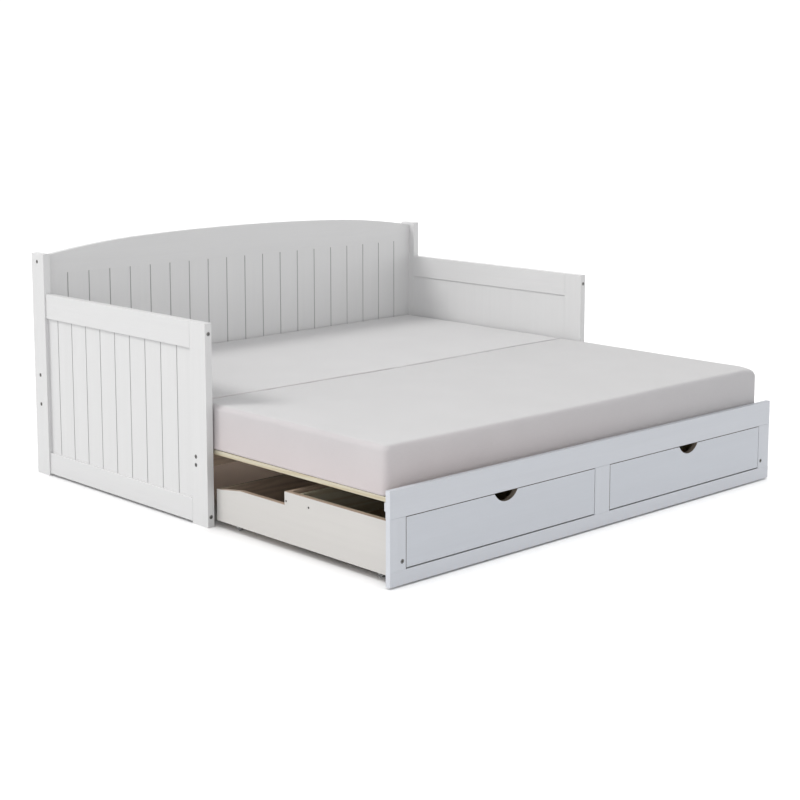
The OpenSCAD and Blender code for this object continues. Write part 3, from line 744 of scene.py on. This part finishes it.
def mattress(name, node, body, seed, seam_high, knit):
    """The cover that stands for a mattress's solid; seam_high puts its seam at the high end of y."""
    lo, hi = (np.array(v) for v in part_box(node))
    lo = lo + (-END_SPREAD, 0, FOOT_LIFT)
    hi = hi + (END_SPREAD, 0, -TOP_DROP)
    if seam_high:
        hi[1] -= SEAM_BACK
    else:
        lo[1] += SEAM_BACK
    points, faces = rounded_block(lo, hi, seam_high)
    mesh = bpy.data.meshes.new(name)
    mesh.from_pydata(points.tolist(), [], faces)
    obj = bpy.data.objects.new(name, mesh)
    scene.collection.objects.link(obj)
    start = as_array(mesh)
    reached = swell(obj)
    co = lain_on(capped(start, reached, lo, hi, seam_high), seed, lo, hi)
    rising(co, lo, hi)
    if seam_high:
        reaching(co, lo, hi)
        crushed(co, lo, hi)
    co[:, 2] = np.minimum(co[:, 2], hi[2] + TOP_DROP - TOP_CLEARANCE)
    mesh.vertices.foreach_set("co", co.ravel())
    mesh.update()
    smooth = obj.modifiers.new("smooth", "SUBSURF")
    smooth.levels = smooth.render_levels = 1
    mesh.polygons.foreach_set("use_smooth", [True] * len(mesh.polygons))
    mesh.materials.append(knit)
    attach(obj, body)
    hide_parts(node)
    return obj


mattress("main_mattress_cover", "main_mattress", "main_frame", 3.0, False, MAIN_COVER)
extension = mattress(
    "extension_mattress_cover", "extension_mattress", "extension", 8.5, True, EXTENSION_COVER
)
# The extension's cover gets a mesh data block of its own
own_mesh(extension)

# ---- Floor, light and camera -----------------------------------------------

FLOOR_RADIUS = 60.0
PAPER_LIGHT = colour(0.965, 0.965, 0.965)
PAPER_DARK = colour(0.955, 0.955, 0.957)
# The paper is tinted brown under the fixed frame, only to match the photo's look there
# A warm brown darkening of the paper under the frame: painted shade
PAPER_UNDER_SHADE = colour(0.98, 0.76, 0.64)
# The painted shade's middle from front to back, and the distances from the middle over which it fades
UNDER_MIDDLE = 0.47
UNDER_ACROSS = (0.70, 0.90)
UNDER_ALONG = (0.32, 0.44)
# The paper reflects less onto the bed than it shows the camera, chosen to match the photo's tones
PAPER_BOUNCE = colour(0.62, 0.62, 0.62)
# The sky's strength overhead, what the ring at the horizon adds, and the ring's shares on each side
SKY_UP = 0.62
SKY_RING = 1.12
RING_LEFT = 1.18
RING_RIGHT = 0.90
SKY_TINT = colour(1.0, 1.0, 1.0)
# What the camera sees behind the bed in place of that sky
BACKDROP = 1.1
KEY_STRENGTH = 1.42
KEY_FROM = Vector((-0.225, 0.156, 0.301))
KEY_ANGLE = math.radians(20)
PAPER_STRENGTH = 1.60
PAPER_ANGLE = math.radians(40)


def floor():
    """A round sheet of paper, with brown painted shade under the frame, that looks lighter than it lights
    the bed.
    """
    mesh = bpy.data.meshes.new("floor")
    bm = bmesh.new()
    bmesh.ops.create_circle(bm, cap_ends=True, segments=96, radius=FLOOR_RADIUS)
    bm.to_mesh(mesh)
    bm.free()
    obj = bpy.data.objects.new("floor", mesh)
    scene.collection.objects.link(obj)
    s = Shader("floor_paper", Roughness=0.95, Specular_IOR_Level=0.05)
    sheet = s.mix(s.noise(s.place(), 0.8, 2.0), PAPER_LIGHT, PAPER_DARK)
    at = s.split(s.place())
    across = s.scale(s.math("ABSOLUTE", at[0]), *UNDER_ACROSS, 1.0, 0.0)
    deep = s.math("ABSOLUTE", s.math("SUBTRACT", at[1], UNDER_MIDDLE))
    along = s.scale(deep, *UNDER_ALONG, 1.0, 0.0)
    # Brown painted shade under the frame
    sheet = s.mix(s.math("MULTIPLY", across, along), sheet, PAPER_UNDER_SHADE)
    seen = s.node("LightPath").outputs["Is Camera Ray"]
    s.set("Base Color", s.mix(seen, PAPER_BOUNCE, sheet))
    mesh.materials.append(s.material)
    return obj


def studio_world():
    """A sky that is brightest at the horizon and to the left, which lights the bed unseen."""
    world = bpy.data.worlds.new("studio")
    scene.world = world
    world.use_nodes = True
    tree = world.node_tree
    tree.nodes.clear()

    def node(kind, *inputs, **settings):
        made = tree.nodes.new("ShaderNode" + kind)
        for key, value in settings.items():
            setattr(made, key, value)
        for i, value in inputs:
            if isinstance(value, bpy.types.NodeSocket):
                tree.links.new(value, made.inputs[i])
            else:
                made.inputs[i].default_value = value
        return made

    way = node("SeparateXYZ", (0, node("TexCoord").outputs["Generated"])).outputs
    height = node("Math", (0, way[2]), (1, 0.0), operation="MAXIMUM").outputs[0]
    depth = node("Math", (0, 1.0), (1, height), operation="SUBTRACT").outputs[0]
    ring = node("Math", (0, depth), (1, 2.0), operation="POWER").outputs[0]
    side = node("MapRange", (0, way[0]), (1, -1.0), (2, 1.0), (3, RING_LEFT), (4, RING_RIGHT))
    glow = node("Math", (0, ring), (1, side.outputs[0]), operation="MULTIPLY").outputs[0]
    power = node("Math", (0, glow), (1, SKY_RING), (2, SKY_UP), operation="MULTIPLY_ADD")
    sky = node("Background", (0, SKY_TINT), (1, power.outputs[0]))
    backdrop = node("Background", (0, colour(1, 1, 1)), (1, BACKDROP))
    seen = node("LightPath").outputs["Is Camera Ray"]
    choose = node("MixShader", (0, seen), (1, sky.outputs[0]), (2, backdrop.outputs[0]))
    node("OutputWorld", (0, choose.outputs[0]))


def sun(name, strength, way, angle, tint):
    light = bpy.data.lights.new(name, "SUN")
    light.energy = strength
    light.angle = angle
    light.color = tint
    obj = bpy.data.objects.new(name, light)
    obj.rotation_euler = way.to_track_quat("Z", "Y").to_euler()
    scene.collection.objects.link(obj)
    return obj


def lights_only(light, obj, state):
    """Limits what a lamp lights: obj alone (INCLUDE), or everything but obj (EXCLUDE)."""
    group = bpy.data.collections.new(light.name + "_receivers")
    group.objects.link(obj)
    group.collection_objects[0].light_linking.link_state = state
    light.light_linking.receiver_collection = group


paper = floor()
studio_world()
# The key models the bed but throws no shadow on the paper, which has its own light from above
key = sun("key", KEY_STRENGTH, KEY_FROM, KEY_ANGLE, (1.0, 0.99, 0.975))
lights_only(key, paper, "EXCLUDE")
overhead = sun("overhead", PAPER_STRENGTH, Vector((0, 0, 1)), PAPER_ANGLE, (1.0, 1.0, 1.0))
lights_only(overhead, paper, "INCLUDE")

scene.view_settings.view_transform = "Standard"

# Solved from points of the photo for a bed 2.03 m wide, with the shift held at CAMERA_SHIFT
FOCAL_PX = 1608.9
IMAGE_PX = 800
CAMERA_AT = (-4.275, -4.539, 1.567)
CAMERA_DOWN = math.radians(8.03)
CAMERA_AROUND = math.radians(43.30)
CAMERA_SHIFT = -0.12
camera = bpy.data.cameras.new("camera")
camera.sensor_width = 36.0
camera.lens = camera.sensor_width * FOCAL_PX / IMAGE_PX
camera.shift_y = CAMERA_SHIFT
camera.clip_end = 200.0
camera_object = bpy.data.objects.new("camera", camera)
camera_object.location = CAMERA_AT
camera_object.rotation_euler = (math.radians(90) - CAMERA_DOWN, 0, -CAMERA_AROUND)
scene.collection.objects.link(camera_object)
scene.camera = camera_object
